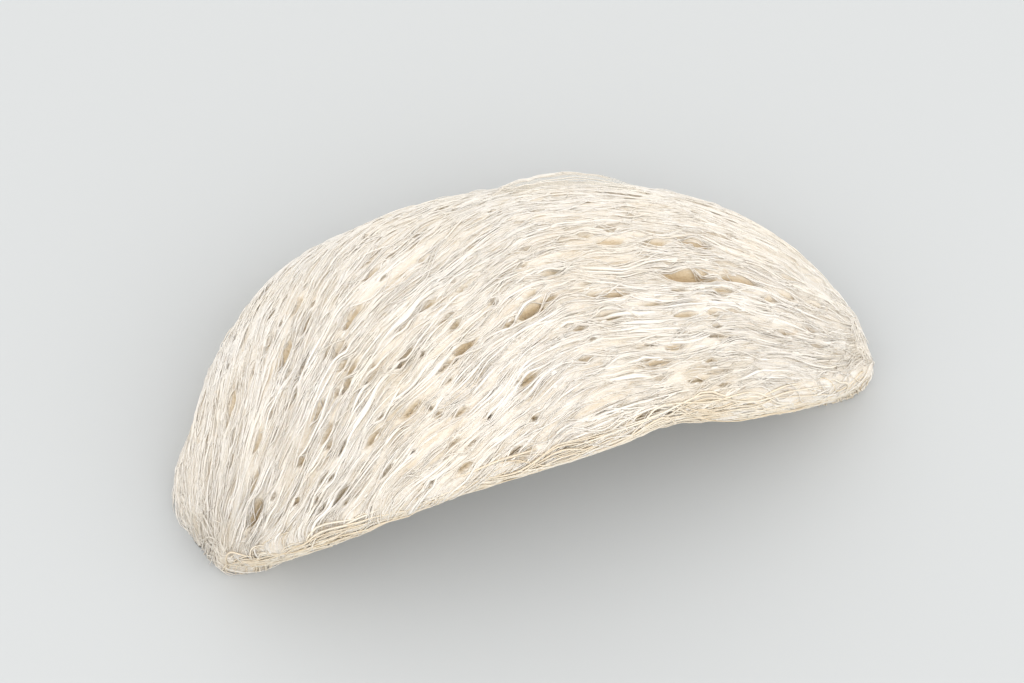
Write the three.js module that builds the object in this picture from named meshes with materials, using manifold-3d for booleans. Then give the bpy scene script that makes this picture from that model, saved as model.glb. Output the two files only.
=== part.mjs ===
// An edible bird's nest: the half cup of hardened strands that a swiftlet builds against a wall.
// It lies as it is stored, on the flat edge that held it to the wall, with its rounded front up.
// The rim is a free arch that rises from one foot, leans forward over the mouth and drops to the
// other foot. Units are millimetres, +Z is up, and the surface it lies on is z = 0.
import * as THREE from "three";
import { mergeVertices } from "three/addons/utils/BufferGeometryUtils.js";
import Module from "manifold-3d";

// Driving dimensions. Angles are in degrees. A turn is a place along the nest: 0 and 180 are the
// points where its outside would close beyond the left and the right foot.
const HALF_LENGTH = 46; // from the middle to those points
const PEAK_SHIFT = -3; // how far the widest section lies towards the left foot
const FULLNESS = 0.94; // exponent of the taper along the length: under 1 is blunter
const LEFT_FOOT_TURN = 10; // where the left foot is cut off
const RIGHT_FOOT_TURN = 173; // where the right foot is, which is narrower

// Radius of the widest section, round the line between the feet: from the wall edge, which faces
// +Y at 0, up over the top and on to the front.
const SECTION = [
  { angle: 0, radius: 36.8 },
  { angle: 25, radius: 36.0 },
  { angle: 50, radius: 33.8 },
  { angle: 75, radius: 31.6 },
  { angle: 100, radius: 29.8 },
  { angle: 125, radius: 28.2 },
  { angle: 180, radius: 26.5 },
];
const RIM_ANGLE = 108; // where the arch of the rim runs at its middle
const FOOT_ANGLE = 115; // where it runs at the feet
const RIM_FALL = 70; // degrees of turn over which it comes down to each foot

// A shallow dip that the drying left in the rim, on the right of its middle.
const DIP_TURN = 114;
const DIP_SPREAD = 11;
const DIP_ANGLE = 3;

// The cup's hollow leaves the wall of strands and two solid feet. The rim is a rounded lip.
const WALL = 6;
const FOOT_THICKNESS = 12; // from the hollow's end to where the outside would close
const HOLLOW_FULLNESS = 0.8;
const LIP_RADIUS = 2.9;
const LIP_FOOT_RADIUS = 2.2;
const LIP_PROUD = 0.4; // how far it stands out of the outer face
const ANKLE_IN = 0.5; // how far the lip slants inward and back as it comes down in a foot
const ANKLE_BACK = 1;

// The left foot splays out along the wall that it was stuck to.
const SPLAY = 1.6;
const SPLAY_TURN = 14;
const SPLAY_SPREAD = 20;

// Slow waves of the outer face.
const WAVE_DEPTH = 0.6;
const WAVES_ALONG = 3;
const WAVES_ROUND = 2;

// Grid steps of the three surfaces.
const OUTER_STEPS = { along: 54, round: 22 };
const HOLLOW_STEPS = { along: 30, round: 32 };
const LIP_STEPS = { along: 48, round: 10 };

const radians = THREE.MathUtils.degToRad;

// Radius of the widest section at an angle, on straight runs between SECTION's points.
function sectionRadius(angle) {
  const next = Math.max(1, SECTION.findIndex((point) => point.angle >= angle));
  const [a, b] = [SECTION[next - 1], SECTION[next]];
  const share = (angle - a.angle) / (b.angle - a.angle);
  return THREE.MathUtils.lerp(a.radius, b.radius, share);
}

// Share of the widest section's radius that is left at a turn.
const taper = (turn, fullness) => Math.abs(Math.sin(radians(turn))) ** fullness;

function lengthwise(turn, halfLength) {
  return -halfLength * Math.cos(radians(turn)) + PEAK_SHIFT * Math.sin(radians(turn));
}

// The angle at which the rim runs at a turn.
function rimAngle(turn) {
  const fromFoot = Math.min(turn - LEFT_FOOT_TURN, RIGHT_FOOT_TURN - turn);
  const lift = THREE.MathUtils.smoothstep(fromFoot, 0, RIM_FALL);
  const dip = DIP_ANGLE * Math.exp(-(((turn - DIP_TURN) / DIP_SPREAD) ** 2));
  return THREE.MathUtils.lerp(FOOT_ANGLE, RIM_ANGLE, lift) - dip;
}

// A point at a radius and an angle round the line between the feet.
function sectionPoint(x, radius, angle) {
  const turned = radians(angle);
  return new THREE.Vector3(x, radius * Math.cos(turned), radius * Math.sin(turned));
}

function outerRadius(turn, angle) {
  const wave = Math.sin(radians(WAVES_ALONG * turn)) * Math.cos(radians(WAVES_ROUND * angle));
  return (sectionRadius(angle) + WAVE_DEPTH * wave) * taper(turn, FULLNESS);
}

function outerPoint(turn, angle) {
  const splay = SPLAY * Math.exp(-(((turn - SPLAY_TURN) / SPLAY_SPREAD) ** 2));
  const nearWall = Math.cos(radians(angle / 2)) ** 4;
  const x = lengthwise(turn, HALF_LENGTH) - splay * nearWall;
  return sectionPoint(x, outerRadius(turn, angle), angle);
}

// The whole nest before it is hollowed: a wedge between the wall's plane and the rim, whose
// sharp edge is the straight line between the feet.
function wedgeGeometry() {
  const { along, round } = OUTER_STEPS;
  const line = [];
  const skin = [];
  for (let i = 0; i <= along; i++) {
    const turn = THREE.MathUtils.lerp(LEFT_FOOT_TURN, RIGHT_FOOT_TURN, i / along);
    line.push(sectionPoint(lengthwise(turn, HALF_LENGTH), 0, 0));
    for (let j = 0; j <= round; j++) skin.push(outerPoint(turn, (rimAngle(turn) * j) / round));
  }
  const onSkin = (i, j) => line.length + i * (round + 1) + j;
  const faces = [];
  for (let i = 0; i < along; i++) {
    for (let j = 0; j < round; j++) {
      faces.push(onSkin(i, j), onSkin(i, j + 1), onSkin(i + 1, j));
      faces.push(onSkin(i, j + 1), onSkin(i + 1, j + 1), onSkin(i + 1, j));
    }
    faces.push(i, onSkin(i, 0), i + 1, onSkin(i, 0), onSkin(i + 1, 0), i + 1);
    faces.push(i, i + 1, onSkin(i, round), i + 1, onSkin(i + 1, round), onSkin(i, round));
  }
  for (let j = 0; j < round; j++) {
    faces.push(0, onSkin(0, j + 1), onSkin(0, j));
    faces.push(along, onSkin(along, j), onSkin(along, j + 1));
  }
  return new THREE.BufferGeometry().setFromPoints([...line, ...skin]).setIndex(faces);
}

// A closed body through rings of points, whose first and last rings have shrunk to a point.
// Each ring runs anticlockwise when the next one is seen behind it.
function ringsGeometry(rings) {
  const count = rings[0].length;
  const last = rings.length - 1;
  const faces = [];
  for (let i = 0; i < last; i++) {
    for (let j = 0; j < count; j++) {
      const a = i * count + j;
      const b = i * count + ((j + 1) % count);
      if (i > 0) faces.push(a, b, a + count);
      if (i < last - 1) faces.push(b, b + count, a + count);
    }
  }
  return new THREE.BufferGeometry().setFromPoints(rings.flat()).setIndex(faces);
}

// The hollow that the eggs lie in: a rounded body that reaches out past both its openings.
function hollowGeometry() {
  const { along, round } = HOLLOW_STEPS;
  const rings = [];
  for (let i = 0; i <= along; i++) {
    const turn = (180 * i) / along;
    const x = lengthwise(turn, HALF_LENGTH - FOOT_THICKNESS);
    const ring = [];
    for (let j = 0; j < round; j++) {
      const angle = (360 * j) / round;
      const folded = Math.min(angle, 360 - angle);
      const radius = (sectionRadius(folded) - WALL) * taper(turn, HOLLOW_FULLNESS);
      ring.push(sectionPoint(x, radius, angle));
    }
    rings.push(ring);
  }
  return ringsGeometry(rings);
}

// A station of the rim's bundle of strands.
function rimStation(turn) {
  const radius = THREE.MathUtils.lerp(LIP_FOOT_RADIUS, LIP_RADIUS, taper(turn, 1));
  const angle = rimAngle(turn);
  const inset = radius - LIP_PROUD;
  const x = lengthwise(turn, HALF_LENGTH - inset);
  return { radius, point: sectionPoint(x, outerRadius(turn, angle) - inset, angle) };
}

// The two stations beyond a foot's, which carry the bundle down through the wall's plane.
function footStations(foot, inward) {
  const ankle = foot.point.clone().add(new THREE.Vector3(inward * ANKLE_IN, ANKLE_BACK, 0));
  ankle.z = -LIP_PROUD;
  const tip = ankle.clone().setZ(-foot.radius);
  return [
    { radius: foot.radius, point: ankle },
    { radius: 0, point: tip },
  ];
}

// The lip: a round bundle along the rim, which narrows into the feet and ends on the wall.
function lipGeometry() {
  const { along, round } = LIP_STEPS;
  const rim = [];
  for (let i = 0; i <= along; i++) {
    rim.push(rimStation(THREE.MathUtils.lerp(LEFT_FOOT_TURN, RIGHT_FOOT_TURN, i / along)));
  }
  const left = footStations(rim[0], 1).reverse();
  const stations = [...left, ...rim, ...footStations(rim[along], -1)];
  const path = new THREE.CatmullRomCurve3(stations.map((station) => station.point));
  const rings = stations.map(({ radius, point }, i) => {
    const tangent = path.getTangent(i / (stations.length - 1));
    const side = new THREE.Vector3(0, 1, 0).cross(tangent).normalize();
    const upward = tangent.clone().cross(side);
    const ring = [];
    for (let j = 0; j < round; j++) {
      const turned = (2 * Math.PI * j) / round;
      const out = side.clone().multiplyScalar(Math.cos(turned) * radius);
      out.addScaledVector(upward, Math.sin(turned) * radius);
      ring.push(out.add(point));
    }
    return ring;
  });
  return ringsGeometry(rings);
}

function solidOf(wasm, geometry) {
  const merged = mergeVertices(geometry, 1e-3);
  const vertProperties = merged.getAttribute("position").array;
  const triVerts = new Uint32Array(merged.getIndex().array);
  return new wasm.Manifold(new wasm.Mesh({ numProp: 3, vertProperties, triVerts }));
}

function geometryOfSolid(solid) {
  const { vertProperties, triVerts } = solid.getMesh();
  const geometry = new THREE.BufferGeometry();
  geometry.setAttribute("position", new THREE.BufferAttribute(vertProperties, 3));
  geometry.setIndex(new THREE.BufferAttribute(triVerts, 1));
  return geometry;
}

const wasm = await Module();
wasm.setup();

const shell = solidOf(wasm, wedgeGeometry()).subtract(solidOf(wasm, hollowGeometry()));
const withLip = shell.add(solidOf(wasm, lipGeometry()));
const geometry = geometryOfSolid(withLip.trimByPlane([0, 0, 1], 0));

// The origin is the middle of the footprint.
geometry.computeBoundingBox();
const middle = geometry.boundingBox.getCenter(new THREE.Vector3());
geometry.translate(-middle.x, -middle.y, 0);
geometry.computeVertexNormals();

const driedStrands = new THREE.MeshStandardMaterial({
  color: new THREE.Color(0.88, 0.8, 0.66),
  roughness: 0.72,
  metalness: 0,
});

const nest = new THREE.Mesh(geometry, driedStrands);
nest.name = "nest";

const birdsNest = new THREE.Group();
birdsNest.add(nest);

export default birdsNest;
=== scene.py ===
import math

import bpy
import numpy as np
from mathutils import Matrix


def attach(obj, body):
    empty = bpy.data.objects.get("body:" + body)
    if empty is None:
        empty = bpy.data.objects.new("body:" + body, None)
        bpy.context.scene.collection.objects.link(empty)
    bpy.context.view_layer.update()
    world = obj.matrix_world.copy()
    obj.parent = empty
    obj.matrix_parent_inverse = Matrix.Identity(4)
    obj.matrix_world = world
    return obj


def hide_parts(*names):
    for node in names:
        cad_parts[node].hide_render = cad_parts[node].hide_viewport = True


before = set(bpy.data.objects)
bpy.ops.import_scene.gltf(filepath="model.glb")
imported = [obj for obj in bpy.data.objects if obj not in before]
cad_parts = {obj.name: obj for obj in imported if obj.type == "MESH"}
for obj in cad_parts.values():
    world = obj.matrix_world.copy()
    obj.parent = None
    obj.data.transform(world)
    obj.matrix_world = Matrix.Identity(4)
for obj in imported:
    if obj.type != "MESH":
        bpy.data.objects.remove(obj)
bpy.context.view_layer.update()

# --- The felted wall -----------------------------------------------------------------------
# A swiftlet lays threads of its own saliva from foot to foot, and they dry into one hard
# felt, ivory white and a little translucent. This is the felt's mass: the half cup, its
# rounded rim and its two solid feet, combed along the threads and pitted where they part.

# Lengths are in millimetres and angles in degrees, here and in every section before the
# floor's. A turn is a place along the nest: 0 and 180 are the points where it would close
# beyond its feet. A way is a place on the skin across it. It counts degrees round the line
# between the feet, from the wall's edge over the outer face to the rim, then LIP_WAY round
# the lip, and then degrees again down the hollow.
LINE_MIDDLE = np.array([0.8304, -12.5075, 0.0])  # the middle of the line between the feet
HALF_LENGTH, HOLLOW_HALF_LENGTH = 46.0, 34.0
PEAK_SHIFT = -3.0  # the widest section lies this far towards the left foot
MEAN_RADIUS, RADIUS_WAVE, RADIUS_SECOND_WAVE, BELLY_WAVE = 31.0, 4.84, 0.73, 0.6
OUTER_POWER, INNER_POWER = 0.94, 0.8
SHOULDERS = ((0.04, 58, 20), (0.03, 146, 16), (-0.03, 27, 9))  # share of the radius, turn, spread
HEEL, HEEL_TURN, HEEL_SPREAD = 2.9, 10, 11
TOE, TOE_TURN, TOE_SPREAD = 1.3, 176, 15
WALL = 6.0
OUTER_SHARE, INNER_SHARE = 0.15, 0.95  # where the felt's two faces lie in the wall
LIP, LIP_WAY = 2.6, 13.0
RIM_START, RIM_END = 10, 173
RIM_AT_FEET, RIM_RISE, RIM_RISE_TURNS = 115, 7, 70
RIM_DIP, RIM_DIP_TURN, RIM_DIP_SPREAD = 3, 114, 11
FIRST_TURN, LAST_TURN = 5.0, 175.5
LEFT_FOOTING, RIGHT_FOOTING = 11.0, 169.0  # beyond these turns the feet come down on the wall
PER_TURN, PER_DEGREE = 0.8, 0.56  # millimetres to a degree of turn and of way, in mid nest


def ease(x, start, end):
    """0 before start, 1 after end, and between them 3 s squared less 2 s cubed."""
    s = np.clip((x - start) / (end - start), 0, 1)
    return s * s * (3 - 2 * s)


def bell(x, middle, spread):
    """A bell curve 1 high: e to minus the square of the distance over the spread."""
    return np.exp(-(((x - middle) / spread) ** 2))


def unit(v):
    """Each vector over its own length."""
    return v / np.maximum(np.linalg.norm(v, axis=-1, keepdims=True), 1e-9)


def cloud(x, y, seed):
    """Smooth noise from 0 to 1: random values at the whole numbers, eased between them. The
    values repeat when their table runs out."""
    rows, columns = 97, 89
    table = np.random.default_rng(seed).random((rows, columns))
    i, j = np.floor(x).astype(int), np.floor(y).astype(int)
    down, over = ease(x - i, 0, 1), ease(y - j, 0, 1)
    row, next_row, column, next_column = i % rows, (i + 1) % rows, j % columns, (j + 1) % columns
    near = table[row, column] * (1 - over) + table[row, next_column] * over
    far = table[next_row, column] * (1 - over) + table[next_row, next_column] * over
    return near * (1 - down) + far * down


def ridged(x, y, seed):
    """Sharp ridges from 0 to 1: 1 less twice the noise's distance from its middle value."""
    return 1 - np.abs(2 * cloud(x, y, seed) - 1)


def rim_angle(turn):
    """The way of the rim: it stands furthest over at the feet, eases back from them, and has
    one dip, a bell."""
    from_foot = np.minimum(turn - RIM_START, RIM_END - turn)
    dip = RIM_DIP * bell(turn, RIM_DIP_TURN, RIM_DIP_SPREAD)
    return RIM_AT_FEET - RIM_RISE * ease(from_foot, 0, RIM_RISE_TURNS) - dip


def wall_point(turn, angle, share):
    """A point of the wall, from the middle of the line between the feet. The outer radius is a
    constant, plus a cosine of the angle and one of twice the angle, with a slow wave along the
    nest, times a power of the sine of the turn and the bells of the shoulders. The inner one is
    less by the wall, times a lower power. Share 0 is the outer face and 1 the inner, with a
    straight line between. The feet splay at the wall's edge, and in the last degrees of turn
    the height eases to nothing, so that they end flat on the wall."""
    a, t = np.radians(angle), np.radians(turn)
    sine = np.abs(np.sin(t))
    section = MEAN_RADIUS + RADIUS_WAVE * np.cos(a) + RADIUS_SECOND_WAVE * np.cos(2 * a)
    shoulders = sum(size * bell(turn, middle, spread) for size, middle, spread in SHOULDERS)
    outer = (section + BELLY_WAVE * np.sin(3 * t) * np.cos(2 * a)) * sine**OUTER_POWER
    outer = outer * (1 + shoulders * np.cos(a / 2) ** 2)
    inner = (section - WALL) * sine**INNER_POWER
    heel = HEEL * bell(turn, HEEL_TURN, HEEL_SPREAD) * np.cos(a / 2) ** 4
    outer_x = -HALF_LENGTH * np.cos(t) - heel + TOE * bell(turn, TOE_TURN, TOE_SPREAD)
    inner_x = -HOLLOW_HALF_LENGTH * np.cos(t)
    x = outer_x * (1 - share) + inner_x * share + PEAK_SHIFT * np.sin(t)
    radius = outer * (1 - share) + inner * share
    footing = ease(turn, FIRST_TURN, LEFT_FOOTING) * (1 - ease(turn, RIGHT_FOOTING, LAST_TURN))
    return np.stack([x, radius * np.cos(a), radius * np.sin(a) * footing], -1)


STEP = 0.5  # degrees to either side, over which directions are taken


def skin_point(turn, way):
    """A point of the skin, smooth: the outer face, the half round lip and the hollow's face.
    Round the lip the share goes by a cosine and the lip stands out by a sine."""
    rim = rim_angle(turn)
    bend = np.pi * np.clip((way - rim) / LIP_WAY, 0, 1)
    middle, half = (OUTER_SHARE + INNER_SHARE) / 2, (INNER_SHARE - OUTER_SHARE) / 2
    angle = np.minimum(way, rim) - np.maximum(way - rim - LIP_WAY, 0)
    ahead = unit(wall_point(turn, rim + STEP, middle) - wall_point(turn, rim - STEP, middle))
    round_lip = ahead * (LIP * np.sin(bend))[..., None]
    return wall_point(turn, angle, middle - half * np.cos(bend)) + round_lip


def skin_normal(turn, way):
    """Unit vector out of the skin: the step across the nest crossed with the step along it."""
    along = skin_point(turn + STEP, way) - skin_point(turn - STEP, way)
    about = skin_point(turn, way + STEP) - skin_point(turn, way - STEP)
    return unit(np.cross(about, along))


# The threads cross the wall at a slant: they climb steeply from the rim on the left, more
# gently over the middle, level out, and fall to the right foot. Degrees of way to one of turn.
# A thread keeps one label, its way less this drift.
turn_marks = np.linspace(0, 180, 721)
slant = (
    -0.8 * (1 - ease(turn_marks, 14, 34)) - 0.65 * (1 - ease(turn_marks, 48, 72))
    - 0.6 * (1 - ease(turn_marks, 84, 110)) + 0.4 * bell(turn_marks, 138, 12)
    - 0.8 * ease(turn_marks, 150, 168)
)
drift_marks = np.cumsum(slant) * (turn_marks[1] - turn_marks[0])


def drift(turn):
    """How far a thread has climbed from the left end, in degrees: the slants added up."""
    return np.interp(turn, turn_marks, drift_marks)


# Threads stray in waves, each with its height, the labels and turns it takes, and a seed. The
# short ones make neighbours bunch and part again as the strings of a net do.
WAVES = ((5, 16, 19, 21), (2.2, 6, 9, 22), (1.6, 2.6, 4.6, 23), (0.6, 1.3, 2.8, 24))


def straying(label, turn):
    """How far all threads of one label stray from it together, in degrees: the waves' sum."""
    strayed = 0
    for wave_height, wave_labels, wave_turns, seed in WAVES:
        strayed = strayed + wave_height * (cloud(label / wave_labels, turn / wave_turns, seed) - 0.5)
    return strayed


def parting(turn, way):
    """0 where threads bunch and 1 where they part: how fast the straying grows with label."""
    label = way - drift(turn)
    label = label - straying(label, turn)
    growth = (straying(label + STEP / 2, turn) - straying(label - STEP / 2, turn)) / STEP
    return ease(growth, 0.2, 1.2)


# Where threads part wide they leave lens-shaped pits: turn, way, half length, half width.
wide_pits = np.array([
    [122, 72, 3.0, 0.8], [92.5, 76, 1.9, 0.65], [80, 80, 1.6, 0.5], [50, 56, 1.8, 0.5],
    [34, 51, 2.0, 0.45], [29, 99, 1.7, 0.6], [64, 60, 1.8, 0.45], [68, 90, 1.5, 0.4],
    [88, 92, 1.5, 0.4], [110, 61, 1.6, 0.45], [118, 61, 1.5, 0.45], [126, 60, 1.7, 0.5],
    [132, 73, 2.2, 0.5], [52, 86, 1.4, 0.35], [71, 50, 1.4, 0.35], [56, 53, 1.3, 0.35],
    [32, 86, 1.3, 0.35], [107, 76, 1.6, 0.35], [104, 81, 1.2, 0.3], [110, 96, 1.6, 0.35],
    [77, 66, 1.2, 0.3], [74, 108, 1.1, 0.35], [60, 93, 1.4, 0.35], [96, 74, 1.2, 0.35],
])
SMALL_PITS = 210
pit_dice = np.random.default_rng(41)
small_pits = np.stack([
    np.degrees(np.arccos(pit_dice.uniform(-0.9, 0.94, SMALL_PITS))),
    pit_dice.uniform(3, 110, SMALL_PITS),
    0.5 + 1.0 * pit_dice.random(SMALL_PITS) ** 2,
    0.19 + 0.17 * pit_dice.random(SMALL_PITS) ** 2,
], -1)
pits = np.concatenate([wide_pits, small_pits])


def from_pits(turn, way):
    """Distances from every pit in millimetres, first along its threads and then across."""
    at_turn, at_way = pits[:, 0], pits[:, 1]
    sine = np.sin(np.radians(at_turn))
    per_turn, per_way = PER_TURN * sine, PER_DEGREE * sine**OUTER_POWER
    lean = np.interp(at_turn, turn_marks, slant) * per_way
    size = np.hypot(per_turn, lean)
    dx = (turn[..., None] - at_turn) * per_turn
    dy = (way[..., None] - at_way) * per_way
    return (dx * per_turn + dy * lean) / size, (dy * per_turn - dx * lean) / size


def pit_depth(turn, way):
    """How deep the pits are in millimetres, 0 away from them. A pit's middle is as deep as 0.1
    plus 3.4 times its half width. Its ends fall off as e to minus a fourth power, which is
    blunt, and its sides as e to minus a square."""
    along, across = from_pits(turn, way)
    length, width = pits[:, 2], pits[:, 3]
    lens = np.exp(-((along / length) ** 4) - (across / width) ** 2)
    return ((0.1 + 3.4 * width) * lens).max(-1)


def felt(turn, way):
    """Height of the felt over the smooth skin, in millimetres: broad folds along the threads,
    less what is missing between parted threads and in the pits, but none of that on the lip."""
    label = way - drift(turn)
    folds = 0.7 * cloud(label / 15, turn / 26, 3) + 0.4 * cloud(label / 5, turn / 17, 4) - 0.55
    on_face = 1 - ease(way, rim_angle(turn) + 5, rim_angle(turn) + LIP_WAY)
    return folds - on_face * (0.35 * parting(turn, way) + pit_depth(turn, way))


def hollow_felt(turn, way):
    """Height of the felt inside the cup: coarse ridges and finer ones, crossing every way."""
    return 0.5 * ridged(way / 6, turn / 5, 9) + 0.4 * ridged(way / 3, turn / 2.5, 10) - 0.3


def ring_mesh(name, rings, tips, tone, grain):
    """Closed bodies from arrays: body, ring, point of the ring. Squares join the rings and
    triangles close each end to its tip. Each body gets its own cell of the bake map."""
    bodies, rows, sides = rings.shape[:3]
    body_size = rows * sides + 2
    points = np.concatenate([rings.reshape(bodies, -1, 3), tips], 1).reshape(-1, 3)
    points[:, 2] = np.maximum(points[:, 2], 0)  # nothing reaches through the wall's plane
    first = (np.arange(bodies) * body_size)[:, None, None]
    i, j = [v.ravel() for v in np.meshgrid(np.arange(rows - 1), np.arange(sides), indexing="ij")]
    side, last = np.arange(sides), (rows - 1) * sides
    following = (side + 1) % sides
    right = i * sides + (j + 1) % sides
    squares = np.stack([i * sides + j, right, right + sides, i * sides + j + sides], -1)
    near = np.stack([following, side, np.full(sides, body_size - 2)], -1)
    far = np.stack([last + side, last + following, np.full(sides, body_size - 1)], -1)
    square_corners = (first + squares).reshape(-1)
    fan_corners = (first + np.concatenate([near, far])).reshape(-1)
    corners = np.concatenate([square_corners, fan_corners])
    starts = np.concatenate([
        np.arange(0, len(square_corners), 4),
        len(square_corners) + np.arange(0, len(fan_corners), 3),
    ])
    mesh = bpy.data.meshes.new(name)
    mesh.vertices.add(len(points))
    mesh.vertices.foreach_set("co", ((points + LINE_MIDDLE) * 0.001).ravel())
    mesh.loops.add(len(corners))
    mesh.loops.foreach_set("vertex_index", corners)
    mesh.polygons.add(len(starts))
    mesh.polygons.foreach_set("loop_start", starts)
    mesh.polygons.foreach_set("use_smooth", np.ones(len(starts), bool))
    mesh.update(calc_edges=True)

    # The bake map: cells in a square array, the rings up each cell and their points across.
    across = math.ceil(math.sqrt(bodies))
    cell = np.arange(bodies)
    corner = np.stack([cell % across, cell // across], -1)[:, None, None] / across
    square_uv = np.stack([
        np.stack([j, j + 1, j + 1, j], -1) / sides,
        0.06 + 0.88 * np.stack([i, i, i + 1, i + 1], -1) / (rows - 1),
    ], -1)
    near_uv = np.stack([
        np.stack([side + 1, side, side + 0.5], -1) / sides,
        np.tile([0.06, 0.06, 0.0], (sides, 1)),
    ], -1)
    far_uv = np.stack([
        np.stack([side, side + 1, side + 0.5], -1) / sides,
        np.tile([0.94, 0.94, 1.0], (sides, 1)),
    ], -1)
    inset = 0.02 + 0.96 * square_uv, 0.02 + 0.96 * np.concatenate([near_uv, far_uv])
    places = [(corner + uv[None] / across).reshape(-1, 2) for uv in inset]
    mesh.uv_layers.new(name="OFBake").data.foreach_set("uv", np.concatenate(places).ravel())

    for label, kind, values in (("tone", "FLOAT", tone), ("grain", "FLOAT_VECTOR", grain)):
        width = 1 if kind == "FLOAT" else 3
        whole = np.broadcast_to(values, rings.shape[:3] if width == 1 else rings.shape)
        whole = whole.reshape(bodies, rows * sides, width)
        whole = np.concatenate([whole, whole[:, :1], whole[:, -1:]], 1)
        data = mesh.attributes.new(label, kind, "POINT").data
        data.foreach_set("value" if width == 1 else "vector", whole.astype(np.float32).ravel())
    piece = bpy.data.objects.new(name, mesh)
    bpy.context.scene.collection.objects.link(piece)
    return piece


# The mass in one closed skin. Its sections run over the outer face, round the lip, back over
# the hollow's face and across the flat edge that the wall held.
SECTIONS, FACE_POINTS, LIP_POINTS, HOLLOW_POINTS, EDGE_POINTS = 196, 180, 20, 60, 8
turns = np.linspace(FIRST_TURN, LAST_TURN, SECTIONS)[:, None]
rims = rim_angle(turns)
face_ways = np.linspace(0, 1, FACE_POINTS)[None] * rims
lip_ways = rims + LIP_WAY * np.linspace(0, 1, LIP_POINTS + 2)[None, 1:-1]
hollow_ways = rims + LIP_WAY + np.linspace(0, 1, HOLLOW_POINTS)[None] * rims
ways = np.concatenate([face_ways, lip_ways, hollow_ways], 1)
all_turns = turns + 0 * ways
in_hollow = ease(ways, rims + 2, rims + LIP_WAY)
labels = ways - drift(turns)
combed = 0.16 * ridged(labels / 2.4, turns / 9, 5) + 0.16 * ridged(labels / 1.3, turns / 5, 6)
height = (1 - in_hollow) * (felt(all_turns, ways) + combed - 0.1) + in_hollow * hollow_felt(turns, ways)
skin = skin_point(all_turns, ways) + skin_normal(all_turns, ways) * height[..., None]
edge_share = np.linspace(INNER_SHARE, OUTER_SHARE, EDGE_POINTS + 2)[None, 1:-1]
skin = np.concatenate([skin, wall_point(turns + 0 * edge_share, 0 * edge_share, edge_share)], 1)[None]

# Its tone is 1 where it is palest. The tone is painted shade: paler on the combed ridges, darker and warmer
# in the pits and between parted threads, the low places where shade falls, and a little lower over the
# hollow.
pit_and_gap_shade = 0.25 * parting(all_turns, ways) + 0.6 * pit_depth(all_turns, ways)
skin_tone = 0.62 + 0.8 * (combed - 0.2) - (1 - in_hollow) * pit_and_gap_shade - 0.1 * in_hollow
skin_tone = np.concatenate([skin_tone, 0.3 + 0 * (turns + edge_share)], 1)[None]
skin_grain = np.stack(np.broadcast_arrays(
    np.concatenate([labels * PER_DEGREE, 0 * turns + edge_share * WALL], 1), turns * PER_TURN, 0.0
), -1)[None]
mass = ring_mesh("felted_wall", skin, skin[:, [0, -1]].mean(2), skin_tone, skin_grain)

# Dried saliva: ivory, and warm where its tone is low, with fibrils drawn out along each thread, warm
# patches a centimetre wide, stained specks, and bubbles half a millimetre wide. Where the pieces carry
# painted shade in their tone, the warm colour is that painted shade.
fibre_finish = bpy.data.node_groups.new("fibre finish", "ShaderNodeTree")
for socket_name, kind, direction in (
    ("Pale", "NodeSocketColor", "INPUT"), ("Warm", "NodeSocketColor", "INPUT"),
    ("Stain", "NodeSocketColor", "INPUT"), ("Rough", "NodeSocketFloat", "INPUT"),
    ("Color", "NodeSocketColor", "OUTPUT"), ("Roughness", "NodeSocketFloat", "OUTPUT"),
    ("Height", "NodeSocketFloat", "OUTPUT"),
):
    fibre_finish.interface.new_socket(name=socket_name, in_out=direction, socket_type=kind)


def add(tree, kind, values=(), **settings):
    """A node with its settings, and its input sockets by name or number."""
    node = tree.nodes.new(kind)
    for key, value in settings.items():
        setattr(node, key, value)
    for key, value in dict(values).items():
        node.inputs[key].default_value = value
    return node


def join(tree, *pairs):
    """Links each pair, an output socket to an input one."""
    for start, end in pairs:
        tree.links.new(start, end)


given, out = add(fibre_finish, "NodeGroupInput"), add(fibre_finish, "NodeGroupOutput")
tone_in = add(fibre_finish, "ShaderNodeAttribute", attribute_name="tone")
grain_in = add(fibre_finish, "ShaderNodeAttribute", attribute_name="grain")
spot = add(fibre_finish, "ShaderNodeTexCoord")
drawn = add(fibre_finish, "ShaderNodeMapping", {"Scale": (2.6, 0.26, 2.6)})
fibrils = add(fibre_finish, "ShaderNodeTexNoise", {"Scale": 1.0, "Detail": 5.0, "Roughness": 0.62})
patches = add(fibre_finish, "ShaderNodeTexNoise", {"Scale": 90.0, "Detail": 3.0})
bubbles = add(fibre_finish, "ShaderNodeTexVoronoi", {"Scale": 1900.0})
specks = add(fibre_finish, "ShaderNodeTexNoise", {"Scale": 620.0, "Detail": 2.0})
patch_mask = add(fibre_finish, "ShaderNodeMapRange", {"From Min": 0.5, "From Max": 0.78, "To Max": 0.5})
speck_mask = add(fibre_finish, "ShaderNodeMapRange", {"From Min": 0.66, "From Max": 0.76, "To Max": 0.3})
streak = add(
    fibre_finish, "ShaderNodeMapRange", {"From Min": 0.3, "From Max": 0.7, "To Min": -0.3, "To Max": 0.3}
)
tone_sum = add(fibre_finish, "ShaderNodeMath", operation="ADD", use_clamp=True)
tone_mix = add(fibre_finish, "ShaderNodeMix", data_type="RGBA")
patch_mix = add(fibre_finish, "ShaderNodeMix", data_type="RGBA")
speck_mix = add(fibre_finish, "ShaderNodeMix", data_type="RGBA")
rough_add = add(fibre_finish, "ShaderNodeMath", {1: 0.25}, operation="MULTIPLY_ADD")
bubble_height = add(fibre_finish, "ShaderNodeMath", {1: 0.3}, operation="MULTIPLY_ADD")
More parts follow.
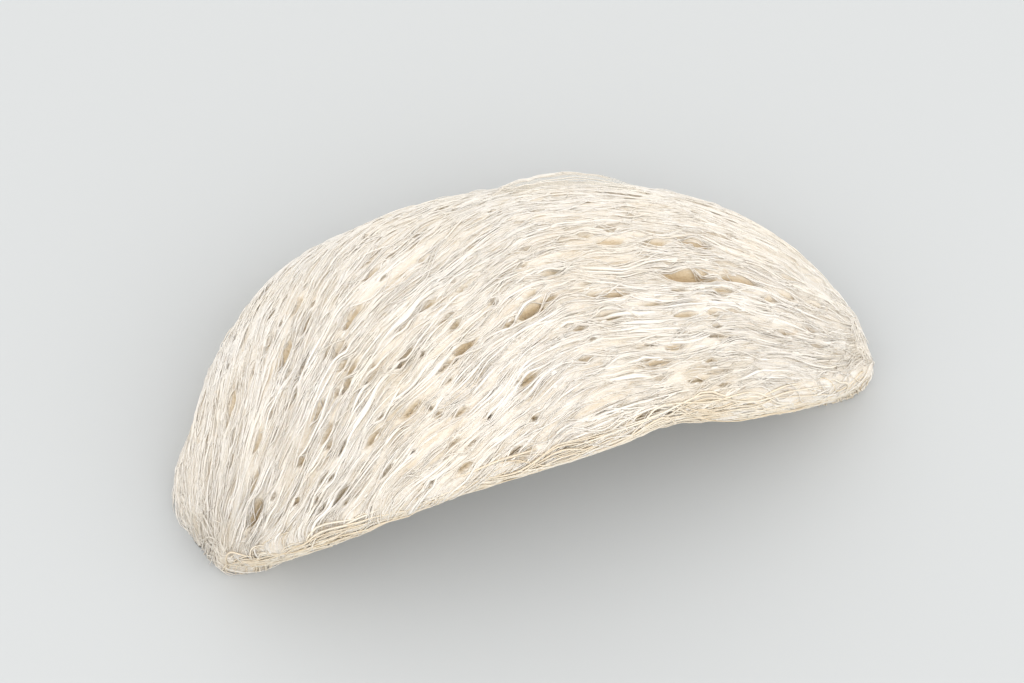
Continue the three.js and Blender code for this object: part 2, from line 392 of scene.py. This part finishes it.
join(
    fibre_finish,
    (grain_in.outputs["Vector"], drawn.inputs["Vector"]),
    (drawn.outputs["Vector"], fibrils.inputs["Vector"]),
    (spot.outputs["Object"], patches.inputs["Vector"]),
    (spot.outputs["Object"], bubbles.inputs["Vector"]),
    (spot.outputs["Object"], specks.inputs["Vector"]),
    (patches.outputs["Fac"], patch_mask.inputs["Value"]),
    (specks.outputs["Fac"], speck_mask.inputs["Value"]),
    (fibrils.outputs["Fac"], streak.inputs["Value"]),
    (streak.outputs["Result"], tone_sum.inputs[0]),
    (tone_in.outputs["Fac"], tone_sum.inputs[1]),
    (tone_sum.outputs["Value"], tone_mix.inputs["Factor"]),
    (given.outputs["Warm"], tone_mix.inputs["A"]),
    (given.outputs["Pale"], tone_mix.inputs["B"]),
    (patch_mask.outputs["Result"], patch_mix.inputs["Factor"]),
    (tone_mix.outputs["Result"], patch_mix.inputs["A"]),
    (given.outputs["Warm"], patch_mix.inputs["B"]),
    (speck_mask.outputs["Result"], speck_mix.inputs["Factor"]),
    (patch_mix.outputs["Result"], speck_mix.inputs["A"]),
    (given.outputs["Stain"], speck_mix.inputs["B"]),
    (speck_mix.outputs["Result"], out.inputs["Color"]),
    (fibrils.outputs["Fac"], rough_add.inputs[0]),
    (given.outputs["Rough"], rough_add.inputs[2]),
    (rough_add.outputs["Value"], out.inputs["Roughness"]),
    (bubbles.outputs["Distance"], bubble_height.inputs[0]),
    (fibrils.outputs["Fac"], bubble_height.inputs[2]),
    (bubble_height.outputs["Value"], out.inputs["Height"]),
)


def saliva(name, pale, warm, stain, rough, bump, depth):
    """Dried saliva: the fibre finish on a matt body, of which light enters the depth's share."""
    material = bpy.data.materials.new(name)
    material.use_nodes = True
    tree = material.node_tree
    body = tree.nodes["Principled BSDF"]
    finish = add(tree, "ShaderNodeGroup", node_tree=fibre_finish)
    for socket, value in (("Pale", pale), ("Warm", warm), ("Stain", stain)):
        finish.inputs[socket].default_value = (*value, 1)
    finish.inputs["Rough"].default_value = rough
    relief = add(tree, "ShaderNodeBump", {"Strength": bump, "Distance": 0.0003})
    body.inputs["Subsurface Weight"].default_value = depth
    body.inputs["Subsurface Radius"].default_value = (1.0, 0.95, 0.9)
    body.inputs["Subsurface Scale"].default_value = 0.0007
    body.inputs["Specular IOR Level"].default_value = 0.3
    join(
        tree,
        (finish.outputs["Color"], body.inputs["Base Color"]),
        (finish.outputs["Roughness"], body.inputs["Roughness"]),
        (finish.outputs["Height"], relief.inputs["Height"]),
        (relief.outputs["Normal"], body.inputs["Normal"]),
    )
    return material


def settle(piece, finish):
    """Gives a piece its finish and its place: on the nest's one body, as dried strands."""
    piece.data.materials.append(finish)
    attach(piece, "root")


# The felt's colours are darker and warmer than the threads', most of all the warm one: painted shade, for
# the felt shows in the gaps between threads and in the pits.
FELT_PALE, FELT_WARM, FELT_STAIN = (0.86, 0.825, 0.78), (0.68, 0.56, 0.39), (0.60, 0.45, 0.28)
settle(mass, saliva("felted saliva", FELT_PALE, FELT_WARM, FELT_STAIN, rough=0.45, bump=1.0, depth=0.4))
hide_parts("nest")

# --- The base threads ----------------------------------------------------------------------
# Flat bands of saliva, from a quarter to two thirds of a millimetre wide, that the bird drew
# from side to side. They lie half sunk in the felt and dive in at both ends.
THREAD_HEIGHT, END_SINK = 0.22, 0.35


def spin(name, turn, way, width, level, tone, sides):
    """A closed tube along each row of turns and ways. Its height is the thread height times the cube root
    of its width over half a millimetre, so wide threads lie flat. The level is its middle's height over the
    skin. It thins to both ends by a power of a sine, and sinks there. Its crown is painted paler than its
    sides and underside, as painted shade."""
    along = np.linspace(0.02, 0.98, turn.shape[1])
    full = np.sin(np.pi * along) ** 0.4
    across = width * full
    thick = THREAD_HEIGHT * np.cbrt(width / 0.5) * full
    up = skin_normal(turn, way)
    path = skin_point(turn, way) + up * (level - END_SINK * (1 - full))[..., None]
    path[..., 2] = np.maximum(path[..., 2], across / 2)  # it lies on the wall, never in it
    ahead = unit(np.gradient(path, axis=1))
    side = unit(np.cross(ahead, up))
    lift = np.cross(side, ahead)
    about = np.pi / 2 - 2 * np.pi * np.arange(sides) / sides
    rings = path[:, :, None] + side[:, :, None] * (across[..., None] / 2 * np.cos(about))[..., None]
    rings = rings + lift[:, :, None] * (thick[..., None] / 2 * np.sin(about))[..., None]
    tips = path[:, [0, -1]] + ahead[:, [0, -1]] * across[:, [0, -1], None] * [[[-0.5], [0.5]]]
    run = np.cumsum(np.linalg.norm(np.diff(path, axis=1, prepend=path[:, :1]), axis=-1), 1)
    own = np.arange(len(path))[:, None] * 7.3  # moves the fibrils on from thread to thread
    grain = np.stack(np.broadcast_arrays(
        across[..., None] * np.cos(about), (run + own)[..., None], thick[..., None] * np.sin(about)
    ), -1)
    # Painted shade round the tube: a sine adds to the tone on the crown and takes from it on the underside.
    return ring_mesh(name, rings, tips, tone[..., None] + 0.25 * np.sin(about), grain)


SHORTEST_RUN, CROSSING_SHARE = 3, 0.04
LOWEST_WAY, LIP_REACH = 0.5, 11


def drawn_paths(dice, count, steps, lengths, stray):
    """Turns and ways of threads over the outer face, one row to a thread. Each starts from a
    random place, keeps its label both ways for its length or to the skin's edge, strays
    with its neighbours and by itself, and passes each pit on the side it comes nearest. A
    few cross the pits. Threads that the feet or the rim cut too short are left out."""
    # The odds of a starting place fall towards the feet by a power of a sine.
    marks = np.linspace(FIRST_TURN, LAST_TURN, 340)
    odds = np.cumsum(np.sin(np.radians(marks)) ** 1.7 + 0.06)
    turn = np.interp(dice.random(count) * odds[-1], odds, marks)
    label = dice.random(count) * (rim_angle(turn) + 9) - drift(turn)

    # The first and last turns that the label reaches before it leaves the skin.
    every = label[:, None] + drift(marks)
    outside = (every < LOWEST_WAY) | (every > rim_angle(marks) + LIP_REACH)
    place, numbers = np.searchsorted(marks, turn)[:, None], np.arange(len(marks))
    first = np.where(outside & (numbers < place), numbers, 0).max(1)
    last = np.where(outside & (numbers >= place), numbers, len(marks) - 1).min(1)

    # The thread's own stretch of turns, by its length and the millimetres to a turn. Its ends
    # stay off the feet by a random square.
    sine = np.sin(np.radians(turn))
    pace = np.hypot(PER_TURN * sine, PER_DEGREE * sine * np.interp(turn, turn_marks, slant))
    reach = dice.uniform(*lengths, count) / pace
    split = dice.uniform(0.25, 0.75, count)
    start = np.maximum(turn - reach * split, marks[first])
    end = np.minimum(turn + reach * (1 - split), marks[last])
    start = np.maximum(start, FIRST_TURN + 9 * dice.random(count) ** 2)
    end = np.minimum(end, LAST_TURN - 12 * dice.random(count) ** 2)
    kept = end - start > SHORTEST_RUN
    label, start, end = label[kept, None], start[kept, None], end[kept, None]

    turn = start + (end - start) * np.linspace(0, 1, steps)
    sine = np.maximum(np.sin(np.radians(turn)), 0.2)
    own = cloud(np.arange(len(label))[:, None] * 1.37, turn / 7, 24) - 0.5
    way = label + drift(turn) + straying(label, turn) + stray * own / sine

    # A pit pushes threads off by its width, less the further they pass.
    along, across = from_pits(turn, way)
    nearest = np.abs(along).argmin(1)[:, None]
    beside = np.take_along_axis(across, nearest, 1)
    length, width = pits[:, 2] * 1.3, pits[:, 3] * 1.4 + 0.12
    push = np.sign(beside) * width * np.exp(-((along / length) ** 2) - np.abs(beside) / width / 1.3)
    yields = dice.random(len(label))[:, None] > CROSSING_SHARE
    way = way + yields * push.sum(-1) / (PER_DEGREE * sine)
    return turn, np.clip(way, 0.3, rim_angle(turn) + LIP_WAY)


def lay_threads(name, count, steps, lengths, widths, levels, sides, seed, stray):
    """Threads on the outer face: most are thin and a few wide, each at its own level over the felt,
    swelling and thinning and rising and sinking along it. The lower a thread lies, the darker and warmer it
    is painted, as shade among the others."""
    dice = np.random.default_rng(seed)
    turn, way = drawn_paths(dice, count, steps, lengths, stray)
    number = np.arange(len(turn))[:, None]
    wide = widths[0] + (widths[1] - widths[0]) * dice.random(len(turn))[:, None] ** 3
    width = wide * (0.65 + 0.7 * cloud(number * 2.1, turn / 6, seed)) * np.sin(np.radians(turn)) ** 0.3
    rise = dice.uniform(*levels, len(turn))[:, None] + 0.3 * (cloud(number * 1.7, turn / 9, seed + 1) - 0.5)
    below = felt(turn, way)
    level = np.maximum(below, 0.8 * below) + rise  # over a dip it sags less deep than the felt
    tone = dice.normal(0.6, 0.1, len(turn))[:, None] + 0.35 * (cloud(turn / 15, way / 15, 31) - 0.5)
    # Painted shade: the tone falls with the thread's rise, so low threads are darker and warmer.
    return spin(name, turn, way, width, level, tone + 0.6 * (rise - 0.1), sides)


THREAD_PALE, THREAD_WARM, THREAD_STAIN = (0.88, 0.84, 0.785), (0.86, 0.775, 0.64), (0.73, 0.57, 0.37)
thread = saliva("drawn threads", THREAD_PALE, THREAD_WARM, THREAD_STAIN, rough=0.45, bump=0.5, depth=0.1)
settle(lay_threads(
    "base_threads", count=420, steps=18, sides=4, seed=101,
    lengths=(6, 20), widths=(0.25, 0.7), levels=(0.0, 0.15), stray=1.0,
), thread)

# --- The face threads ----------------------------------------------------------------------
# The long threads over the bands, thinner and rounder. They give the outside its combed look,
# and where they part the felt shows between them.
settle(lay_threads(
    "face_threads", count=1790, steps=18, sides=3, seed=202,
    lengths=(5, 20), widths=(0.16, 0.6), levels=(0.03, 0.22), stray=1.5,
), thread)

# --- The upper threads ---------------------------------------------------------------------
# Shorter threads of the same saliva, laid last. They leave their neighbours sooner and close
# the gaps.
settle(lay_threads(
    "upper_threads", count=2300, steps=14, sides=3, seed=252,
    lengths=(3, 13), widths=(0.14, 0.42), levels=(0.05, 0.25), stray=3.8,
), thread)

# --- The tie threads -----------------------------------------------------------------------
# Hair-thin threads that the bird's bill pulls out between the others. They wander from one
# face thread to the next and tie them together.
settle(lay_threads(
    "tie_threads", count=1900, steps=14, sides=3, seed=303,
    lengths=(3, 11), widths=(0.1, 0.24), levels=(0.12, 0.33), stray=8.0,
), thread)

# --- The knots -----------------------------------------------------------------------------
# Drops of saliva about a millimetre long, which dried among the threads and glue them down.
# They lie along the threads under them.
KNOTS, KNOT_STEPS = 900, 5
KNOT_HALVES, KNOT_WIDTHS, KNOT_LEVELS, KNOT_TONE = (0.4, 0.9), (0.18, 0.36), (0.05, 0.25), 0.7
knot_dice = np.random.default_rng(353)
knot_turn = np.degrees(np.arccos(knot_dice.uniform(-0.98, 0.98, KNOTS)))[:, None]
knot_way = knot_dice.random((KNOTS, 1)) * (rim_angle(knot_turn) + LIP_WAY)
knot_half = knot_dice.uniform(*KNOT_HALVES, (KNOTS, 1)) / np.sin(np.radians(knot_turn))
knot_half = knot_half * np.linspace(-1, 1, KNOT_STEPS)
knot_way = knot_way + knot_half * np.interp(knot_turn, turn_marks, slant)
knot_turn = np.clip(knot_turn + knot_half, FIRST_TURN, LAST_TURN)
knot_width = knot_dice.uniform(*KNOT_WIDTHS, (KNOTS, 1)) + 0 * knot_turn
knot_level = 0.8 * felt(knot_turn, knot_way) + knot_dice.uniform(*KNOT_LEVELS, (KNOTS, 1))
knot_tone = KNOT_TONE + 0 * knot_turn
settle(spin("knots", knot_turn, knot_way, knot_width, knot_level, knot_tone, sides=4), thread)

# --- The rim -------------------------------------------------------------------------------
# The bird perches on the rim and thickens it most: a loose rope of threads that run along it from foot to
# foot, rolled over from the outer face to the hollow, and browner than the threads on the face.
ROPE_THREADS, ROPE_STEPS = 680, 18
ROPE_REACHES, ROPE_WIDTHS, ROPE_LEVELS = (5, 20), (0.15, 0.42), (0.0, 0.35)
ROPE_START, ROPE_END = 0.15, 1.4  # how far round the lip it lies, in shares of LIP_WAY
rope_dice = np.random.default_rng(71)
rope_middle = rope_dice.uniform(FIRST_TURN, LAST_TURN, (ROPE_THREADS, 1))
rope_reach = rope_dice.uniform(*ROPE_REACHES, (ROPE_THREADS, 1)) * np.linspace(-1, 1, ROPE_STEPS)
rope_turn = np.clip(rope_middle + rope_reach, FIRST_TURN, LAST_TURN)
rope_number = np.arange(ROPE_THREADS)[:, None]
rope_place = rope_dice.uniform(ROPE_START, ROPE_END, (ROPE_THREADS, 1))
rope_place = rope_place + 0.5 * (cloud(rope_number * 1.9, rope_turn / 9, 72) - 0.5)
rope_way = rim_angle(rope_turn) + LIP_WAY * rope_place
rope_width = rope_dice.uniform(*ROPE_WIDTHS, (ROPE_THREADS, 1)) + 0 * rope_turn
rope_below = ease(rope_place, ROPE_START, 1) * hollow_felt(rope_turn, rope_way)
rope_level = rope_dice.uniform(*ROPE_LEVELS, (ROPE_THREADS, 1)) + rope_below
rope_tone = rope_dice.normal(0.45, 0.2, (ROPE_THREADS, 1)) + 0 * rope_turn
ROPE_PALE, ROPE_WARM, ROPE_STAIN = (0.90, 0.84, 0.73), (0.79, 0.65, 0.46), (0.68, 0.51, 0.31)
settle(
    spin("rim_threads", rope_turn, rope_way, rope_width, rope_level, rope_tone, sides=3),
    saliva("rim threads", ROPE_PALE, ROPE_WARM, ROPE_STAIN, rough=0.4, bump=0.5, depth=0.1),
)

# --- The net in the hollow -----------------------------------------------------------------
# Inside, the threads lie every way and leave a net, coarser than the outside and yellower
# where eggs and chicks lay. Each thread sets out on its own heading and bends as it goes.
NET_THREADS, NET_STEPS = 1300, 13
NET_LENGTHS, NET_LEVELS = (5, 16), (0.05, 0.35)
NET_THINNEST, NET_SPREAD = 0.2, 0.5  # the thinnest thread's width, and how much wider others are
net_dice = np.random.default_rng(81)
net_turn = np.degrees(np.arccos(net_dice.uniform(-0.97, 0.97, (NET_THREADS, 1))))
net_way = net_dice.uniform(0, 1, (NET_THREADS, 1)) * rim_angle(net_turn)
heading = net_dice.normal(0, 0.8, (NET_THREADS, 1))
net_number = np.arange(NET_THREADS)[:, None]
heading = heading + 2.5 * (cloud(net_number * 1.3, np.linspace(0, 3, NET_STEPS)[None], 82) - 0.5)
net_step = net_dice.uniform(*NET_LENGTHS, (NET_THREADS, 1)) / NET_STEPS
net_sine = np.maximum(np.sin(np.radians(net_turn)), 0.3)
net_per_turn = np.radians(HOLLOW_HALF_LENGTH) * net_sine
net_per_way = np.radians(MEAN_RADIUS - WALL) * net_sine
net_turn = net_turn + np.cumsum(np.cos(heading) * net_step, 1) / net_per_turn
net_way = net_way + np.cumsum(np.sin(heading) * net_step, 1) / net_per_way
net_turn = np.clip(net_turn, FIRST_TURN, LAST_TURN)
net_way = rim_angle(net_turn) * 2 + LIP_WAY - np.clip(net_way, 0.5, rim_angle(net_turn) + 3)
net_width = NET_THINNEST + NET_SPREAD * net_dice.random((NET_THREADS, 1)) ** 2 + 0 * net_turn
net_level = hollow_felt(net_turn, net_way) + net_dice.uniform(*NET_LEVELS, (NET_THREADS, 1))
net_tone = net_dice.normal(0.6, 0.15, (NET_THREADS, 1)) + 0 * net_turn
NET_PALE, NET_WARM, NET_STAIN = (0.87, 0.81, 0.69), (0.74, 0.61, 0.42), (0.60, 0.43, 0.23)
settle(
    spin("hollow_net", net_turn, net_way, net_width, net_level, net_tone, sides=3),
    saliva("net threads", NET_PALE, NET_WARM, NET_STAIN, rough=0.4, bump=0.5, depth=0.1),
)

# --- The loose fibres ----------------------------------------------------------------------
# Ends that came free when the nest was cut from the rock and cleaned: a fringe of hairs at
# each foot, hairs drawn round the blunt ends, and low arcs all over the outside.
LEFT_FRINGE, RIGHT_FRINGE, LEFT_WRAPS, RIGHT_WRAPS, ARCS = 110, 140, 60, 190, 160
HAIR_STEPS, HAIR_WIDTHS = 14, (0.07, 0.2)
loose_dice = np.random.default_rng(91)
along_hair = np.linspace(0, 1, HAIR_STEPS)[None]
loose_parts = []
for foot, towards, count in ((FIRST_TURN, -1, LEFT_FRINGE), (LAST_TURN, 1, RIGHT_FRINGE)):
    root_turn = foot - towards * loose_dice.uniform(2, 15, (count, 1))
    fringe_turn = root_turn + towards * loose_dice.uniform(2, 9, (count, 1)) * along_hair
    fringe_way = loose_dice.uniform(5, 122, (count, 1)) + loose_dice.normal(0, 16, (count, 1)) * along_hair
    fringe_level = 0.1 + loose_dice.uniform(0.1, 0.8, (count, 1)) * along_hair**2
    loose_parts.append((fringe_turn, fringe_way, fringe_level))
for foot, towards, count in ((FIRST_TURN, -1, LEFT_WRAPS), (LAST_TURN, 1, RIGHT_WRAPS)):
    wrap_turn = foot - towards * loose_dice.uniform(0, 12, (count, 1))
    wrap_bend = cloud(np.arange(count)[:, None] * 1.7, 2.5 * along_hair, 97) - 0.5
    wrap_reach = loose_dice.uniform(25, 70, (count, 1)) * (along_hair - 0.5)
    wrap_way = loose_dice.uniform(0, 125, (count, 1)) + wrap_reach
    wrap_level = loose_dice.uniform(0.0, 0.3, (count, 1)) + 0.3 * wrap_bend
    loose_parts.append((wrap_turn + 5 * wrap_bend, wrap_way, wrap_level))
arc_turn = np.degrees(np.arccos(loose_dice.uniform(-0.95, 0.95, (ARCS, 1))))
arc_reach = loose_dice.uniform(4, 9, (ARCS, 1)) * (along_hair - 0.5)
arc_way = loose_dice.uniform(4, 118, (ARCS, 1)) + loose_dice.normal(0, 0.5, (ARCS, 1)) * arc_reach
arc_way = arc_way + drift(arc_turn + arc_reach) - drift(arc_turn)
arc_level = 0.15 + loose_dice.uniform(0.1, 0.3, (ARCS, 1)) * np.sin(np.pi * along_hair)
loose_parts.append((arc_turn + arc_reach, arc_way, arc_level))
loose_turn, loose_way, loose_level = [np.concatenate(part) for part in zip(*loose_parts)]
loose_turn = np.clip(loose_turn, FIRST_TURN, LAST_TURN)
loose_way = np.clip(loose_way, 1.0, rim_angle(loose_turn) + LIP_WAY)
loose_width = loose_dice.uniform(*HAIR_WIDTHS, (len(loose_turn), 1)) + 0 * loose_turn
loose_tone = loose_dice.uniform(0.45, 0.85, (len(loose_turn), 1)) + 0 * loose_turn
settle(spin("loose_fibres", loose_turn, loose_way, loose_width, loose_level, loose_tone, sides=3), thread)

# --- The film flap -------------------------------------------------------------------------
# Saliva that dried in a skin as thin as paper. This flap of it has lifted behind the crest,
# held by its lower side, its free edge torn.
FLAP_TURN, FLAP_HALF, FLAP_HELD, FLAP_FREE = 107.5, 15.0, 36.0, 14.0
FLAP_LIFT, FILM_THICKNESS = 2.0, 0.1
FLAP_POINTS, FLAP_SECTIONS = 12, 60


def flap_place(run, reach):
    """Turn, way and level on the flap: run goes from -1 to 1 along it, and reach from 0 at the
    held side to 1 at the torn one. Its width is 1 less the square of the run, more of it
    towards the right foot, and it lifts by the reach to the power of one and a half."""
    torn = (1.001 - run**2) * (0.62 + 0.38 * run) * (0.88 + 0.24 * cloud(run * 9 + 3, 0 * run, 95))
    turn = FLAP_TURN + FLAP_HALF * run + 0 * reach
    way = FLAP_HELD + (FLAP_FREE - FLAP_HELD) * torn * reach
    ripple = 0.15 * (cloud(run * 5 + 3, reach * 2, 96) - 0.5)
    return turn, way, 0.1 + FLAP_LIFT * reach**1.5 * torn + ripple


across_flap = np.linspace(0, 1, FLAP_POINTS)
flap_run = np.linspace(-1, 1, FLAP_SECTIONS)[None, :, None]
flap_reach = np.concatenate([across_flap, across_flap[::-1]])[None, None]
flap_turn, flap_way, flap_level = flap_place(flap_run, flap_reach)
flap_level = flap_level - FILM_THICKNESS * np.repeat([0.0, 1.0], FLAP_POINTS)[None, None]
flap_rings = skin_point(flap_turn, flap_way) + skin_normal(flap_turn, flap_way) * flap_level[..., None]
flap_grain = np.stack(np.broadcast_arrays(flap_way * PER_DEGREE, flap_turn * PER_TURN, 0.0), -1)
flap_tips = flap_rings[:, [0, -1]].mean(2)
film = ring_mesh("film_flap", flap_rings, flap_tips, 0.7 + 0 * flap_turn, flap_grain)

# The film is clear but for the fibrils in it, which follow its length.
FILM_PALE, FILM_WARM, FILM_STAIN = (0.88, 0.83, 0.73), (0.76, 0.66, 0.50), (0.68, 0.54, 0.35)
dried_film = saliva("saliva film", FILM_PALE, FILM_WARM, FILM_STAIN, rough=0.3, bump=0.4, depth=0.0)
film_tree = dried_film.node_tree
film_grain = add(film_tree, "ShaderNodeAttribute", attribute_name="grain")
film_drawn = add(film_tree, "ShaderNodeMapping", {"Scale": (2.6, 0.16, 1.0)})
film_fibrils = add(film_tree, "ShaderNodeTexNoise", {"Scale": 1.0, "Detail": 4.0})
film_cover = add(
    film_tree, "ShaderNodeMapRange", {"From Min": 0.4, "From Max": 0.65, "To Min": 0.06, "To Max": 0.4}
)
join(
    film_tree,
    (film_grain.outputs["Vector"], film_drawn.inputs["Vector"]),
    (film_drawn.outputs["Vector"], film_fibrils.inputs["Vector"]),
    (film_fibrils.outputs["Fac"], film_cover.inputs["Value"]),
    (film_cover.outputs["Result"], film_tree.nodes["Principled BSDF"].inputs["Alpha"]),
)
settle(film, dried_film)

# --- The film threads ----------------------------------------------------------------------
# Threads that were caught in the film as it dried and run along it, most of them near its
# torn edge, which they hold together.
CAUGHT, CAUGHT_STEPS, CAUGHT_WIDTHS = 14, 24, (0.1, 0.2)
caught_dice = np.random.default_rng(98)
caught_middle = caught_dice.uniform(-0.25, 0.25, (CAUGHT, 1))
caught_half = caught_dice.uniform(0.3, 0.75, (CAUGHT, 1))
caught_run = caught_middle + caught_half * np.linspace(-1, 1, CAUGHT_STEPS)
caught_reach = 1.01 - 0.5 * caught_dice.random((CAUGHT, 1)) ** 3
caught_number = np.arange(CAUGHT)[:, None]
caught_reach = caught_reach + 0.1 * (cloud(caught_number * 1.7, caught_run * 3 + 5, 99) - 0.5)
caught_turn, caught_way, caught_level = flap_place(np.clip(caught_run, -0.99, 0.99), caught_reach)
caught_width = caught_dice.uniform(*CAUGHT_WIDTHS, (CAUGHT, 1)) + 0 * caught_turn
caught_tone = 0.6 + 0 * caught_turn
settle(
    spin("film_threads", caught_turn, caught_way, caught_width, caught_level, caught_tone, sides=4),
    thread,
)

# --- Floor, light and camera ---------------------------------------------------------------
# A plain pale tabletop under two wide soft lamps and an even pale sky. Lengths are in metres
# from here on.
FLOOR_HALF = 3.0
floor_mesh = bpy.data.meshes.new("floor")
floor_corners = [(x * FLOOR_HALF, y * FLOOR_HALF, 0) for x, y in ((-1, -1), (1, -1), (1, 1), (-1, 1))]
floor_mesh.from_pydata(floor_corners, [], [(0, 1, 2, 3)])
floor = bpy.data.objects.new("floor", floor_mesh)
bpy.context.scene.collection.objects.link(floor)
tabletop = bpy.data.materials.new("pale tabletop")
tabletop.use_nodes = True
tabletop_body = tabletop.node_tree.nodes["Principled BSDF"]
tabletop_body.inputs["Base Color"].default_value = (0.485, 0.499, 0.505, 1)
tabletop_body.inputs["Roughness"].default_value = 0.7
floor_mesh.materials.append(tabletop)

centre = np.array([0.0, -0.001, 0.012])  # the middle of the nest, where camera and lamps point


def aim(item, place, target, upright):
    """Turns an object at a place to look at the target, its top edge towards upright."""
    back = unit(np.asarray(place) - target)
    right = unit(np.cross(upright, back))
    turned = np.eye(4)
    turned[:3] = np.stack([right, np.cross(back, right), back, place], 1)
    item.matrix_world = Matrix(turned.tolist())
    return item


def soft_light(name, place, size, power, colour):
    """A round lamp of a width in metres and a power in watts, turned to the nest."""
    lamp = bpy.data.lights.new(name, "AREA")
    lamp.shape, lamp.size, lamp.energy, lamp.color = "DISK", size, power, colour
    item = bpy.data.objects.new(name, lamp)
    bpy.context.scene.collection.objects.link(item)
    return aim(item, place, centre, (0, 0, 1))


# The camera stands before the mouth, to its left and high above, and leans to one side.
CAMERA_DISTANCE, CAMERA_LENS = 0.777, 215
azimuth, elevation, lean = math.radians(-28.5), math.radians(65.3), math.radians(10.3)
outward = np.array([
    math.sin(azimuth) * math.cos(elevation), -math.cos(azimuth) * math.cos(elevation), math.sin(elevation)
])
level_right = unit(np.cross((0, 0, 1), outward))
camera_up = np.cross(outward, level_right) * math.cos(lean) - level_right * math.sin(lean)
camera_right = unit(np.cross(camera_up, outward))
camera_data = bpy.data.cameras.new("camera")
camera_data.lens = CAMERA_LENS
camera_data.clip_start, camera_data.clip_end = 0.05, 20
camera = bpy.data.objects.new("camera", camera_data)
bpy.context.scene.collection.objects.link(camera)
aim(camera, centre + outward * CAMERA_DISTANCE, centre, camera_up)
bpy.context.scene.camera = camera

above_left = centre + 0.65 * outward - 0.45 * camera_right + 0.05 * camera_up
soft_light("key", above_left, 0.8, 1.1, (1, 0.985, 0.97))
above_right = centre + 0.6 * outward + 0.6 * camera_right
soft_light("fill", above_right, 0.9, 1.7, (1, 0.99, 0.98))
world = bpy.data.worlds.new("studio")
world.use_nodes = True
sky = world.node_tree.nodes["Background"]
sky.inputs["Color"].default_value = (1, 0.995, 0.985, 1)
sky.inputs["Strength"].default_value = 1.33
bpy.context.scene.world = world
bpy.context.scene.view_settings.view_transform = "Standard"
